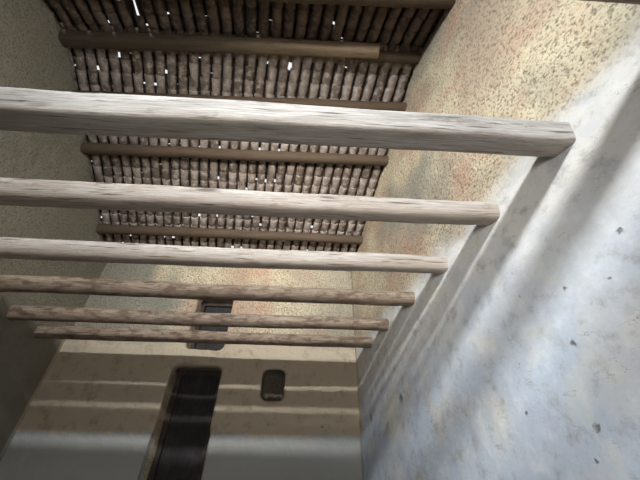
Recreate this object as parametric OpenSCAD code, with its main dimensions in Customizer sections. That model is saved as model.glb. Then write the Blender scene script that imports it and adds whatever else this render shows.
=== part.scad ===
// One-room adobe house: skewed plan, log joists, purlins and a country-tile roof.
// X runs along the joists, +Y points at the back wall, Z is up. Millimetres.
// Origin: middle of the plan, on the ground.

/* [Room] */
// width of the room measured along the joists
room_w = 3060; // [2400:10:4200]
// depth of the room, front wall to back wall
room_d = 4420; // [3600:10:5600]
// how far the plan is out of square, in degrees
plan_skew = 9; // [0:0.5:12]
// thickness of the adobe walls
wall_t = 450; // [300:10:600]
// height of the footing and of the floor
footing_h = 200; // [120:10:400]
// how far the footing stands out past the walls
footing_out = 50; // [0:5:120]

/* [Joists] */
// height of the joist axes over the floor
joist_h = 2400; // [2250:10:2700]
// spacing of the joists
joist_pitch = 442; // [400:1:500]
// diameter of a joist at its left end
joist_d_left = 124; // [90:1:150]
// diameter of a joist at its right end
joist_d_right = 110; // [80:1:150]
// depth of the pockets that hold the joist ends
joist_seat = 200; // [100:10:280]
// which joist is hewn square, counted from the front wall
hewn_joist = 4; // [1:1:9]
// side of that joist between its flats
hewn_w = 110; // [90:1:130]
// how far that joist is rolled over
hewn_roll = 12; // [-20:1:20]
// diameter of the log that it is hewn from, against that of the others
hewn_log = 1.15; // [1:0.01:1.3]

/* [Roof] */
// height of the roof's underside over the floor, at the ridge
ridge_h = 4340; // [4000:10:5000]
// fall of each slope over the run below
roof_fall = 389; // [300:1:480]
// run over which that fall is measured
roof_run = 1000; // [800:10:1200]
// thickness of the tile bed, measured upright
roof_t = 96; // [60:1:140]
// how far the roof stands out past the front and back walls
eaves_out = 380; // [200:10:600]
// how far the roof stands out past the side walls
verge_out = 180; // [100:10:400]
// number of purlins on each slope
purlin_count = 4; // [2:1:6]
// spacing of the purlins
purlin_pitch = 430; // [380:1:480]
// diameter of the purlins
purlin_d = 112; // [80:1:130]
// diameter of the ridge tiles
ridge_tile_d = 240; // [180:5:320]

/* [Tiles] */
// spacing of the columns of tiles along the ridge
tile_pitch = 102.5; // [90:0.5:130]
// gap between neighbouring pan tiles
pan_gap = 13; // [8:1:20]
// how far a cover tile reaches over the pan on each side
cover_lap = 31; // [24:1:36]
// thickness of the pan tiles
tile_t = 12; // [8:1:16]

/* [Front] */
// width of the front doorway
front_door_w = 900; // [700:10:1200]
// height of the front doorway
front_door_h = 1950; // [1750:10:2050]
// height of the front wall over the joist axes
loft_sill_up = 190; // [120:10:300]
// side of the posts in the open front of the loft
post_s = 110; // [80:5:140]

/* [Back] */
// distance from the middle of the room to the middle of the back doorway
back_door_x = -106; // [-400:2:300]
// width of the back doorway
back_door_w = 494; // [460:2:640]
// height of the back doorway
back_door_h = 2270; // [1900:10:2280]
// how far behind the room the door leaf stands
leaf_set = 205; // [120:5:260]
// width of the opening above the back doorway
loft_w = 410; // [340:2:460]
// how far that opening's middle stands to the right of the doorway's
loft_shift = 20; // [-20:2:40]
// height of that opening's sill over the lintel below it
loft_sill_over = 80; // [40:5:200]
// height of that opening
loft_h = 620; // [450:10:640]
// width of the niche
niche_w = 224; // [160:2:320]
// height of the niche
niche_h = 280; // [180:2:360]
// depth of the niche
niche_t = 150; // [80:5:220]
// distance from the middle of the room to the middle of the niche
niche_x = 684; // [500:2:900]
// foot of the niche over the floor
niche_z = 1970; // [1400:10:2000]

/* [Timber] */
// height of the lintels
lintel_h = 90; // [60:5:120]
// how far the lintels reach into the walls
lintel_seat = 160; // [100:10:200]
// width of the wall plates
plate_w = 150; // [100:5:200]
// height of the wall plates
plate_h = 120; // [90:5:150]
// how far the wall plates reach into the side walls
plate_seat = 150; // [80:10:250]
// how far the purlins stop short of the roof's edge
purlin_short = 40; // [0:5:100]

/* [Steps] */
// width of the doorsteps
step_w = 1000; // [800:10:1400]
// depth of the doorsteps
step_run = 340; // [250:10:400]
// height of the doorsteps
step_h = 100; // [60:5:110]

/* [Door] */
// thickness of the door leaf
leaf_t = 34; // [28:1:45]
// width of the frame pieces
frame_w = 40; // [30:1:60]
// depth of the frame pieces
frame_t = 80; // [60:2:120]
// gap round the leaf
leaf_gap = 6; // [5:1:10]
// how far the frames stand out in front of the leaf
frame_lead = 30; // [15:1:40]
// width of the stop that the leaf closes against
stop_w = 14; // [8:1:20]
// diameter of the wooden pivots
pivot_d = 22; // [16:1:26]

/* [Hidden] */
$fn = 96;
tan_skew = tan(plan_skew);
half_w = room_w / 2;
// what stands between the side walls stops short of them by a hair
hair = 0.2;
mid_w = half_w - hair;
half_d = room_d / 2;
out_w = half_w + wall_t;
out_d = half_d + wall_t;
z_floor = footing_h;
z_joist = z_floor + joist_h;
z_ridge = z_floor + ridge_h;
z_sill_front = z_joist + loft_sill_up;
fall = roof_fall / roof_run;
slope = atan(fall);
cut = 40;
reach = out_w + verge_out + out_d + eaves_out;
eaves_y = out_d + eaves_out;
verge_x = out_w + verge_out;
// small shifts of the joists from their even spacing, front to back
joist_shift = [-40, -45, -50, -15, -35, -15, -20, 15, -15];
joist_count = len(joist_shift);
purlin_sink = 0.8 * purlin_d / 2;
// the columns of tiles follow the side walls down the slope
tile_turn = atan(tan_skew * cos(slope));
column_w = tile_pitch * cos(tile_turn);
column_count = floor((2 * verge_x * cos(tile_turn) + pan_gap) / column_w);
pan_r = (column_w - pan_gap) / 2;
cover_r = pan_gap / 2 + cover_lap;
// each half round is drawn in an odd number of flats, so that the middle one is a seat
pan_flats = 7;
cover_flats = 5;
pan_top = pan_r * cos(90 / pan_flats);
cover_rise = (roof_t * cos(slope) - pan_top) / cos(90 / cover_flats);
back_x = centre_x(half_d) + back_door_x;
door_x0 = back_x - back_door_w / 2;
door_x1 = back_x + back_door_w / 2;
loft_x0 = back_x + loft_shift - loft_w / 2;
loft_x1 = loft_x0 + loft_w;
front_x0 = centre_x(-half_d) - front_door_w / 2;
front_x1 = front_x0 + front_door_w;
niche_mid = centre_x(half_d) + niche_x;
z_back_head = z_floor + back_door_h;
z_front_head = z_floor + front_door_h;
z_loft_sill = z_back_head + lintel_h + loft_sill_over;
z_loft_head = z_loft_sill + loft_h;
y_leaf = half_d + leaf_set;
y_frame = y_leaf - frame_lead;
leaf_x0 = door_x0 + frame_w + leaf_gap;
leaf_x1 = door_x1 - frame_w - leaf_gap;
leaf_z0 = z_floor + frame_w + leaf_gap;
leaf_z1 = z_back_head - frame_w - leaf_gap;
pivot_x = leaf_x0 + leaf_t / 2;
pivot_y = y_leaf + leaf_t / 2;
pivot_in = 24;
pivot_play = 1.5;
pivot_seat = 0.3;
y_plate = half_d + wall_t / 2;

function centre_x(y) = -tan_skew * y;
function under_z(y) = z_ridge - fall * abs(y);
function joist_y(k) = (k - (joist_count - 1) / 2) * joist_pitch + joist_shift[k];

// upright block whose ends follow the skew of the plan
module leaning_block(x0, x1, y0, y1, z0, z1) {
  translate([0, 0, z0])
    linear_extrude(z1 - z0)
      polygon([
        [x0 + centre_x(y0), y0],
        [x1 + centre_x(y0), y0],
        [x1 + centre_x(y1), y1],
        [x0 + centre_x(y1), y1]
      ]);
}

module block(x0, x1, y0, y1, z0, z1) {
  translate([x0, y0, z0])
    cube([x1 - x0, y1 - y0, z1 - z0]);
}

// everything below the two slopes, raised by a given height
module below_slopes(up) {
  y = eaves_y + cut;
  translate([-reach, 0, 0])
    rotate([90, 0, 90])
      linear_extrude(2 * reach)
        polygon([[-y, -cut], [y, -cut], [y, under_z(y) + up], [0, z_ridge + up], [-y, under_z(y) + up]]);
}

module joist_log(length, swell) {
  cylinder(h = length, d1 = joist_d_left * swell, d2 = joist_d_right * swell);
}

module joist(k) {
  y = joist_y(k);
  x = half_w + joist_seat;
  translate([centre_x(y) - x, y, z_joist])
    rotate([0, 90, 0])
      if (k == hewn_joist - 1)
        intersection() {
          joist_log(2 * x, hewn_log);
          rotate([0, 0, hewn_roll])
            translate([-hewn_w / 2, -hewn_w / 2, 0])
              cube([hewn_w, hewn_w, 2 * x]);
        }
      else
        joist_log(2 * x, 1);
}

module joists(k0, k1) {
  for (k = [k0:k1])
    joist(k);
}

module purlin_log(i) {
  y = i * purlin_pitch;
  x = verge_x - purlin_short;
  translate([centre_x(y) - x, y, under_z(y) - purlin_sink])
    rotate([0, 90, 0])
      cylinder(h = 2 * x, d = purlin_d);
}

module purlins(i0, i1) {
  intersection() {
    union()
      for (i = [i0:i1])
        purlin_log(i);
    below_slopes(0);
  }
}

module plate(side) {
  y = side * y_plate;
  z = under_z(y_plate + plate_w / 2);
  intersection() {
    leaning_block(-half_w - plate_seat, half_w + plate_seat, y - plate_w / 2, y + plate_w / 2,
      z - plate_h, z + plate_h);
    below_slopes(0);
  }
}

module footing_left() {
  color("#8f8472")
    leaning_block(-out_w - footing_out, -half_w, -out_d - footing_out, out_d + footing_out, 0, footing_h);
}

module footing_right() {
  color("#8f8472")
    leaning_block(half_w, out_w + footing_out, -out_d - footing_out, out_d + footing_out, 0, footing_h);
}

module footing_front() {
  color("#8f8472")
    leaning_block(-mid_w, mid_w, -out_d - footing_out, -half_d, 0, footing_h);
}

module footing_back() {
  color("#8f8472")
    leaning_block(-mid_w, mid_w, half_d, out_d + footing_out, 0, footing_h);
}

module floor() {
  color("#9a8468")
    leaning_block(-mid_w, mid_w, -half_d, half_d, 0, footing_h);
}

module step_front() {
  y = -out_d - footing_out;
  x = (front_x0 + front_x1) / 2;
  color("#7f7668")
    block(x - step_w / 2, x + step_w / 2, y - step_run, y, 0, step_h);
}

module step_back() {
  y = out_d + footing_out;
  color("#7f7668")
    block(back_x - step_w / 2, back_x + step_w / 2, y, y + step_run, 0, step_h);
}

module side_wall(x0, x1) {
  difference() {
    intersection() {
      leaning_block(x0, x1, -out_d, out_d, footing_h, z_ridge);
      below_slopes(0);
    }
    joists(0, joist_count - 1);
    for (i = [-purlin_count:purlin_count])
      purlin_log(i);
    plate(-1);
    plate(1);
  }
}

module wall_left() {
  color("#b3a07e")
    side_wall(-out_w, -half_w);
}

module wall_right() {
  color("#b9a785")
    side_wall(half_w, out_w);
}

module back_wall() {
  difference() {
    intersection() {
      leaning_block(-mid_w, mid_w, half_d, out_d, footing_h, z_ridge);
      below_slopes(0);
    }
    plate(1);
    block(door_x0, door_x1, half_d - cut, out_d + cut, footing_h, z_back_head);
    block(loft_x0, loft_x1, half_d - cut, out_d + cut, z_loft_sill, z_loft_head);
    block(niche_mid - niche_w / 2, niche_mid + niche_w / 2, half_d - cut, half_d + niche_t,
      z_floor + niche_z, z_floor + niche_z + niche_h);
    lintel_block_back();
    lintel_block_loft();
  }
}

module lintel_block_back() {
  block(door_x0 - lintel_seat, door_x1 + lintel_seat, half_d, out_d, z_back_head, z_back_head + lintel_h);
}

module lintel_block_loft() {
  block(loft_x0 - lintel_seat, loft_x1 + lintel_seat, half_d, out_d, z_loft_head, z_loft_head + lintel_h);
}

module lintel_block_front() {
  block(front_x0 - lintel_seat, front_x1 + lintel_seat, -out_d, -half_d, z_front_head, z_front_head + lintel_h);
}

module back_wall_part(x0, x1, z0, z1) {
  color("#b0a080")
    intersection() {
      back_wall();
      block(x0, x1, half_d, out_d, z0, z1);
    }
}

module wall_back_left() {
  back_wall_part(-reach, door_x0, footing_h, z_loft_sill);
}

module wall_back_right() {
  back_wall_part(door_x1, reach, footing_h, z_loft_sill);
}

module wall_back_mid() {
  color("#b0a080")
    block(door_x0, door_x1, half_d, out_d, z_back_head + lintel_h, z_loft_sill);
}

module wall_back_upper_left() {
  back_wall_part(-reach, loft_x0, z_loft_sill, z_ridge);
}

module wall_back_upper_right() {
  back_wall_part(loft_x1, reach, z_loft_sill, z_ridge);
}

module wall_back_top() {
  back_wall_part(loft_x0, loft_x1, z_loft_sill, z_ridge);
}

module wall_front_left() {
  color("#b3a382")
    difference() {
      leaning_block(-mid_w, mid_w, -out_d, -half_d, footing_h, z_sill_front);
      block(front_x0, reach, -out_d - cut, -half_d + cut, footing_h - cut, z_sill_front + cut);
      lintel_block_front();
    }
}

module wall_front_right() {
  color("#b3a382")
    difference() {
      leaning_block(-mid_w, mid_w, -out_d, -half_d, footing_h, z_sill_front);
      block(-reach, front_x1, -out_d - cut, -half_d + cut, footing_h - cut, z_sill_front + cut);
      lintel_block_front();
    }
}

module wall_front_over() {
  color("#b3a382")
    block(front_x0, front_x1, -out_d, -half_d, z_front_head + lintel_h, z_sill_front);
}

module lintel_front() {
  color("#6e5a45")
    lintel_block_front();
}

module lintel_back() {
  color("#6e5a45")
    lintel_block_back();
}

module lintel_loft() {
  color("#6e5a45")
    lintel_block_loft();
}

module joists_front() {
  color("#a39684")
    joists(0, 2);
}

module joists_middle() {
  color("#b5aa9a")
    joists(3, 5);
}

module joists_back() {
  color("#a08b76")
    joists(6, joist_count - 1);
}

module purlin_ridge() {
  color("#6b5137")
    purlins(0, 0);
}

module purlins_front() {
  color("#6b5137")
    purlins(-purlin_count, -1);
}

module purlins_back() {
  color("#6b5137")
    purlins(1, purlin_count);
}

module plate_front() {
  color("#75604a")
    plate(-1);
}

module plate_back() {
  color("#75604a")
    plate(1);
}

module posts() {
  z = under_z(y_plate + plate_w / 2) - plate_h;
  color("#75604a")
    for (i = [-1:1])
      translate([centre_x(-y_plate) + i * room_w / 4 - post_s / 2, -y_plate - post_s / 2, z_sill_front])
        cube([post_s, post_s, z - z_sill_front]);
}

// points of a half round, from one angle to another
function half_round(x, y, rx, ry, flats, a0, a1) =
  [for (i = [0:flats]) let (a = a0 + (a1 - a0) * i / flats) [x + rx * cos(a), y + ry * sin(a)]];

function column_x(k) = (k - (column_count - 1) / 2) * column_w;

// the tile bed cut square to its columns: hanging pans, with covers bedded on their edges over each gap
module tile_section() {
  last = column_count - 1;
  inner_r = pan_r - tile_t;
  polygon([
    for (k = [0:last])
      each half_round(column_x(k), pan_top, pan_r, pan_r, pan_flats, 180, 360),
    for (k = [last:-1:0])
      each concat(
        half_round(column_x(k), pan_top, inner_r, inner_r, pan_flats, 360, 180),
        k == 0 ? [] : half_round(column_x(k) - column_w / 2, pan_top, cover_r, cover_rise, cover_flats, 0, 180)
      )
  ]);
}

// one slope, from the ridge down towards the back
module roof_slope() {
  beyond = verge_x * sin(tile_turn) + roof_t;
  length = eaves_y / cos(slope) / cos(tile_turn) + 2 * beyond;
  intersection() {
    block(-reach, reach, 0, eaves_y, 0, z_ridge + roof_t + cut);
    translate([0, 0, z_ridge])
      rotate([-slope, 0, 0])
        rotate([0, 0, tile_turn])
          translate([0, length - beyond, 0])
            rotate([90, 0, 0])
              linear_extrude(length)
                tile_section();
  }
}

module roof_front() {
  color("#6f5a4a")
    rotate([0, 0, 180])
      roof_slope();
}

module roof_back() {
  color("#6f5a4a")
    roof_slope();
}

module ridge_tiles() {
  color("#7d6552")
    difference() {
      translate([-verge_x, 0, z_ridge + roof_t - ridge_tile_d / 6])
        rotate([0, 90, 0])
          cylinder(h = 2 * verge_x, d = ridge_tile_d);
      below_slopes(roof_t);
    }
}

module frame_back() {
  z1 = z_back_head - frame_w;
  color("#4d3a2b")
    difference() {
      block(door_x0, door_x1, y_frame, y_frame + frame_t, z_floor, z_back_head);
      block(door_x0 + frame_w, door_x1 - frame_w, y_leaf - leaf_gap, out_d, z_floor + frame_w, z1);
      block(door_x0 + frame_w + stop_w, door_x1 - frame_w - stop_w, half_d, out_d, z_floor + frame_w, z1 - stop_w);
      translate([pivot_x, pivot_y, leaf_z0 - leaf_gap - pivot_in])
        cylinder(h = leaf_z1 - leaf_z0 + 2 * (leaf_gap + pivot_in), d = pivot_d + 2 * pivot_play);
    }
}

module frame_loft() {
  color("#4d3a2b")
    difference() {
      block(loft_x0, loft_x1, y_frame, y_frame + frame_t, z_loft_sill, z_loft_head);
      block(loft_x0 + frame_w, loft_x1 - frame_w, y_frame - cut, y_frame + frame_t + cut,
        z_loft_sill + frame_w, z_loft_head - frame_w);
    }
}

module shutter_loft() {
  color("#3f3a38")
    block(loft_x0 + frame_w, loft_x1 - frame_w, y_leaf, y_leaf + leaf_t,
      z_loft_sill + frame_w, z_loft_head - frame_w);
}

module door_leaf() {
  color("#3f3a38") {
    block(pivot_x, leaf_x1, y_leaf, y_leaf + leaf_t, leaf_z0, leaf_z1);
    translate([pivot_x, pivot_y, leaf_z0])
      cylinder(h = leaf_z1 - leaf_z0, d = leaf_t);
    translate([pivot_x, pivot_y, leaf_z0 - leaf_gap - pivot_in + pivot_seat])
      cylinder(h = leaf_z1 - leaf_z0 + 2 * (leaf_gap + pivot_in) - pivot_seat - pivot_play, d = pivot_d);
  }
}

footing_left();
footing_right();
footing_front();
footing_back();
floor();
step_front();
step_back();
wall_left();
wall_right();
wall_back_left();
wall_back_right();
wall_back_mid();
wall_back_upper_left();
wall_back_upper_right();
wall_back_top();
wall_front_left();
wall_front_right();
wall_front_over();
lintel_front();
lintel_back();
lintel_loft();
joists_front();
joists_middle();
joists_back();
purlin_ridge();
purlins_front();
purlins_back();
plate_front();
plate_back();
posts();
roof_front();
roof_back();
ridge_tiles();
frame_back();
frame_loft();
shutter_loft();
door_leaf();
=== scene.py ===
import functools
import math

import bmesh
import bpy
from mathutils import Matrix, Vector, noise


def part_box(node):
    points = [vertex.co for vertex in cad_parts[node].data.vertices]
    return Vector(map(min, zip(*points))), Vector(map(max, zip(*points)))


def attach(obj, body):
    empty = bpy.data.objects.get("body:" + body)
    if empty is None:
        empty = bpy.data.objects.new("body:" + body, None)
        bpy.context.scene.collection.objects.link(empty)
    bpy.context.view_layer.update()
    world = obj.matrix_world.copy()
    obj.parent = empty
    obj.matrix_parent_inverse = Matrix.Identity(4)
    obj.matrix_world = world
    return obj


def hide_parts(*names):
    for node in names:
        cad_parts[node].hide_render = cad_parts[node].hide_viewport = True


bl_info = {
    "name": "Adobe House",
    "version": (1, 0, 0),
    "blender": (4, 5, 0),
    "location": "View3D > Sidebar > Adobe House",
    "description": "Dresses a one-room adobe house with log joists, purlins and country tiles",
    "category": "Object",
}

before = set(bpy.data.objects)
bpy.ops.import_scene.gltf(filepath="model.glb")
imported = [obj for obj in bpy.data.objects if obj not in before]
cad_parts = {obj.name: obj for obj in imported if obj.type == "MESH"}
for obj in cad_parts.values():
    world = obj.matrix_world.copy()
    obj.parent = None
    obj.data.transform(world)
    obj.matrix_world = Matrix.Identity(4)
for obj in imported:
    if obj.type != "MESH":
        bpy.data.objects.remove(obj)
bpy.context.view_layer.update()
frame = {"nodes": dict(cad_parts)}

# Joist axes stand this far off their even spacing, front to back, as in the part
JOIST_SHIFT = (-0.04, -0.045, -0.05, -0.015, -0.035, -0.015, -0.02, 0.015, -0.015)
# How square each joist is hewn, front to back: 2 is round and 9 has sharp corners
JOIST_SQUARE = (2.2, 2.4, 2.2, 9.0, 3.4, 3.0, 2.3, 2.2, 2.3)
# How far the right end of a purlin has drifted toward the front
PURLIN_DRIFT = {-1: 0.07, 0: 0.08, 1: 0.1, 2: 0.04}
# Right end of the ridge log, and the left end of the thinner one that goes on from it
RIDGE_LOG_END, RIDGE_STUB_START = 1.16, 1.0
# Axes of the purlins and of that thinner log lie this far under the roof
PURLIN_DROP, STUB_DROP = 0.052, 0.055
# Purlins and tiles end this far inside the edges of the roof, at the verges and at the eaves
VERGE_INSET, EAVES_INSET = 0.045, 0.022
# The mud bed of the ridge tiles from end to end, with a gap where it has crumbled
RIDGE_BEDS = ((-2.13, -1.42), (-1.22, 2.13))
# A tile is gone from the front slope here, across and in depth
LOST_TILE = (-0.842, -0.22)
# Niche in the back wall: left, right, bottom and top, and its depth
NICHE = (0.222, 0.446, 2.17, 2.45)
NICHE_DEPTH = 0.15
# The walls reach this far into the footing and the roof
BEDDING = 0.02
# The end walls reach this far into the side walls
CORNER_LAP = 0.06
# Lintels lie this far behind the inner face, in pockets with this much room
LINTEL_INSET, LINTEL_ROOM = 0.12, 0.003
# Depth of the wall that each pole of a lintel takes up
LINTEL_POLE = 0.082
# Cutters reach this far past the faces of a wall
CUT_PAST = 0.2
# Radii of the door's heel pole and pivots, and how far planks lap under their neighbours
HEEL_RADIUS, PIVOT_RADIUS, PLANK_LAP = 0.017, 0.011, 0.009
# Usual length of a footing stone, and how far stones and mortar lie inside the footing's faces
STONE_LENGTH, STONE_INSET, MORTAR_INSET = 0.27, 0.055, 0.075
# Chips and nail holes in the plaster: x across the room or None for the right wall, y, z, radius
PLASTER_CHIPS = (
    (None, -0.42, 2.17, 0.009),
    (None, -0.32, 2.06, 0.005),
    (None, -0.18, 2.10, 0.008),
    (None, 0.01, 2.17, 0.005),
    (None, -0.11, 1.93, 0.009),
    (None, 1.26, 2.03, 0.024),
    (None, 1.9, 2.0, 0.03),
    (None, 0.2, 1.77, 0.007),
    (None, -0.05, 1.69, 0.01),
    (None, 0.0, 1.61, 0.006),
    (0.324, 2.2, 1.96, 0.009),
    (0.825, 2.2, 1.955, 0.013),
)
# Lamps: name, place, aim, watts, width and height, spread in degrees, colour
LAMPS = (
    ("loft_daylight", (0.0, -2.2, 3.53), (-0.03, 1.0, -0.15), 5.8, (2.2, 0.08), 64, "#f6faff"),
    ("loft_raking", (-1.1, -2.33, 3.345), (1.0, 0.65, -0.15), 20.5, (0.8, 0.05), 92, "#f6faff"),
    ("low_fill", (-0.9, -1.6, 1.9), (2.4, 1.75, 0.05), 1.9, (0.55, 0.5), 56, "#ffffff"),
    ("roof_fill", (0.4, -1.2, 2.85), (0.0, 1.0, 0.5), 4.8, (2.0, 0.1), 60, "#fff7ee"),
    ("left_fill", (1.2, -1.5, 2.9), (-1.0, 0.5, -0.05), 4.2, (0.4, 0.2), 110, "#ffffff"),
    ("door_daylight", (0.35, -2.3, 1.25), (0.0, 1.0, 0.15), 5.4, (0.85, 1.8), 160, "#f2f4fa"),
)
# The photograph's eye: its place, its turn to the left, its rise and its roll in degrees
EYE = (0.639, -1.09, 1.55)
EYE_TURNS = (-2.45, 38.51, 0.87)
# Focal length and width of the photograph in pixels
FOCAL_LENGTH, PHOTO_WIDTH = 304.7, 640
# Node socket for each kind of default value in a tree
SOCKETS = {float: "Float", int: "Int", bool: "Bool", tuple: "Vector"}
# Families of nodes, in the order in which a kind is looked for
FAMILIES = ("GeometryNode", "ShaderNode", "FunctionNode", "")


def hex_colour(code):
    """An sRGB hex value as linear red, green, blue and alpha."""
    value = [int(code[i : i + 2], 16) / 255 for i in (1, 3, 5)]
    return tuple(v / 12.92 if v <= 0.04045 else ((v + 0.055) / 1.055) ** 2.4 for v in value) + (1.0,)


def size(name, words, default, unit="LENGTH"):
    return bpy.props.FloatProperty(name=name, description=words, default=default, unit=unit)


def colour(name, words, code):
    return bpy.props.FloatVectorProperty(
        name=name, description=words, default=hex_colour(code), size=4, subtype="COLOR", min=0, max=1
    )


class HouseSizes(bpy.types.PropertyGroup):
    """Sizes of the house and of what it is built with"""

    skew: size("Plan skew", "How far the plan is out of square", math.radians(9), "ROTATION")
    half_w: size("Half width", "Middle of the room to a side wall, along the joists", 1.53)
    half_d: size("Half depth", "Middle of the room to the front or back wall", 2.21)
    wall: size("Wall", "Thickness of the walls", 0.45)
    footing: size("Footing", "How far the footing stands out past the walls", 0.05)
    floor_z: size("Floor", "Height of the floor", 0.2)
    joist_z: size("Joists", "Height of the joist axes", 2.6)
    joist_pitch: size("Joist spacing", "Spacing of the joists", 0.442)
    joist_seat: size("Joist seat", "How far a joist reaches into the walls", 0.2)
    purlin_pitch: size("Purlin spacing", "Spacing of the purlins", 0.43)
    ridge_z: size("Ridge", "Height of the roof's underside at the ridge", 4.54)
    fall: size("Fall", "Fall of the roof for each metre of run", 0.389, "NONE")
    eaves: size("Eaves", "How far the roof stands out at the eaves", 0.38)
    verge: size("Verge", "How far the roof stands out past the side walls", 0.18)
    plaster_cell: size("Plaster grain", "Size of the smallest facet of the wall surfaces", 0.032)
    tile_pitch: size("Tile pitch", "Distance between columns of tiles", 0.1023)
    tile_show: size("Tile exposure", "Length of each tile that shows along the slope", 0.112)
    dado_z: size("Dado", "Height at which the smooth coat of the back wall breaks off", 1.88)


class HouseColours(bpy.types.PropertyGroup):
    """Colours of the finishes"""

    roughcast: colour("Roughcast", "Straw and mud render on the upper walls", "#bfab92")
    roughcast_cream: colour("Cream roughcast", "Dry, dusty patches of the render", "#dccfaf")
    roughcast_pink: colour("Pink roughcast", "Patches rich in red clay", "#c8a389")
    # Also laid as painted shade on the left wall, and greyer toward the right corner of the back wall
    roughcast_grey: colour("Grey roughcast", "Damp, olive patches of the render", "#8f9083")
    # Painted shade in the pits of the render
    pit_shade: colour("Pit", "Bottom of the pits in the render", "#7d705f")
    limewash: colour("Limewash", "Thin bluish wash over smooth clay", "#a6afb9")
    limewash_warm: colour("Worn limewash", "Clay that shows through the wash", "#bfb9ad")
    clay_coat: colour("Clay coat", "Smooth clay of the back wall", "#b0a28c")
    dado: colour("Dado", "Bare grey coat low on the back wall", "#9a9a94")
    straw: colour("Straw", "Chopped straw in the render", "#d8c9a0")
    rain_run: colour("Rain runs", "Damp streaks down the outside", "#857a68")
    splash: colour("Splashed foot", "Mud splashed up by rain", "#77644e")
    # Painted shade inside the niche and toward the left ends of some logs
    painted_shade: colour("Soot", "Inside of the niche", "#3b342b")
    log_pale: colour("Silvered log", "Weathered sapwood", "#cbc5bd")
    log_brown: colour("Brown log", "Inner bark left on the logs", "#8d7a68")
    # Painted shade on the undersides of the logs
    log_underside_shade: colour("Smoked underside", "Warm smoke stain under the logs", "#a08b74")
    dust: colour("Dust", "Dust and crumbled mud on top of the logs", "#6f6457")
    crack: colour("Drying crack", "Inside of the cracks in timber", "#3a322a")
    purlin: colour("Purlin", "Smoky brown timber", "#594b3c")
    beam: colour("Beam", "Hewn timber in the open", "#857462")
    tile: colour("Tile", "Old fired clay with dust", "#a99d93")
    tile_dark: colour("Sooty tile", "Soot on the clay", "#6a5e54")
    tile_top: colour("Weathered tile", "Clay on the side that faces the sky", "#a07a64")
    lichen: colour("Lichen", "Grey growth on the weather side", "#8d8a7c")
    plank: colour("Planks", "Smoke-dark planks", "#2f2b29")
    frame: colour("Frames", "Smoke-dark frame timber", "#3f332a")
    stone: colour("Footing stone", "Rubble of the footing", "#8b8375")
    earth: colour("Earth", "Beaten earth and mud mortar", "#95816a")


# Helpers


def sizes():
    return bpy.context.scene.house_sizes


def colours():
    return bpy.context.scene.house_colours


def lean(y):
    """How far the plan's middle line lies to one side at a given depth."""
    return -math.tan(sizes().skew) * y


def under(y):
    """Height of the roof's underside at a given depth."""
    return sizes().ridge_z - sizes().fall * abs(y)


def add(tree, kind, *links, **settings):
    """Adds one node of a kind, which its operation may follow, with its settings and links.

    Links are the inputs in their order, or a dict of them by number or name. An input takes a value, a hex
    colour, a socket or another node's result.
    """
    kind, *operation = kind.split()
    family = next(family for family in FAMILIES if hasattr(bpy.types, family + kind))
    node = tree.nodes.new(family + kind)
    if operation:
        node.operation = operation[0]
    for key, value in settings.items():
        setattr(node, key, value)
    given = {}
    for place, value in enumerate(links):
        given |= value if isinstance(value, dict) else {place: value}
    for key, value in given.items():
        if isinstance(value, str) and value.startswith("#"):
            value = hex_colour(value)
        if isinstance(value, bpy.types.Node):
            value = next(output for output in value.outputs if output.enabled)
        if isinstance(value, bpy.types.NodeSocket):
            tree.links.new(value, node.inputs[key])
        else:
            node.inputs[key].default_value = value
    return node


def link_object(name, data):
    thing = bpy.data.objects.new(name, data)
    bpy.context.scene.collection.objects.link(thing)
    return thing


def solid_object(name, solid):
    """An object made of a bmesh, which is freed."""
    mesh = bpy.data.meshes.new(name)
    solid.to_mesh(mesh)
    solid.free()
    return link_object(name, mesh)


def new_tree(name, inputs):
    """An empty Geometry Nodes tree with named inputs, each of the kind of its default."""
    tree = bpy.data.node_groups.new(name, "GeometryNodeTree")
    tree.interface.new_socket("Geometry", in_out="OUTPUT", socket_type="NodeSocketGeometry")
    for label, default in (inputs | {"Smooth": True, "Finish": "Material"}).items():
        kind = SOCKETS.get(type(default), default)
        socket = tree.interface.new_socket(label, in_out="INPUT", socket_type="NodeSocket" + kind)
        if kind is not default:
            socket.default_value = default
    put = functools.partial(add, tree)
    return tree, put, put("NodeGroupInput").outputs


def finish_tree(put, geometry, given):
    real = put("RealizeInstances", geometry)
    smooth = put("SetShadeSmooth", real, {2: given["Smooth"]})
    put("NodeGroupOutput", put("SetMaterial", smooth, {2: given["Finish"]}))


def grow(name, tree, values, place=None):
    """A plain mesh object made by a tree with the given input values."""
    thing = link_object(name, bpy.data.meshes.new(name))
    modifier = thing.modifiers.new("grow", "NODES")
    modifier.node_group = tree
    for item in tree.interface.items_tree:
        if item.item_type == "SOCKET" and item.in_out == "INPUT" and item.name in values:
            modifier[item.identifier] = values[item.name]
    return settle(thing, place)


def settle(thing, place=None):
    """Turns an object with modifiers into a plain mesh object at the origin."""
    mesh = bpy.data.meshes.new_from_object(thing.evaluated_get(bpy.context.evaluated_depsgraph_get()))
    mesh.name = thing.name
    thing.modifiers.clear()
    old = thing.data
    thing.data = mesh
    bpy.data.meshes.remove(old)
    if place is not None:
        mesh.transform(place)
    return thing


def hull(name, points):
    """A closed convex solid through the given points."""
    solid = bmesh.new()
    for point in points:
        solid.verts.new(point)
    made = bmesh.ops.convex_hull(solid, input=solid.verts)
    loose = [g for g in made["geom_interior"] + made["geom_unused"] if isinstance(g, bmesh.types.BMVert)]
    bmesh.ops.delete(solid, geom=list(set(loose)), context="VERTS")
    bmesh.ops.dissolve_limit(solid, angle_limit=0.001, verts=solid.verts, edges=solid.edges)
    bmesh.ops.recalc_face_normals(solid, faces=solid.faces)
    return solid_object(name, solid)


def box_points(x0, x1, y0, y1, z0, z1):
    return [(x, y, z) for x in (x0, x1) for y in (y0, y1) for z in (z0, z1)]


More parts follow.
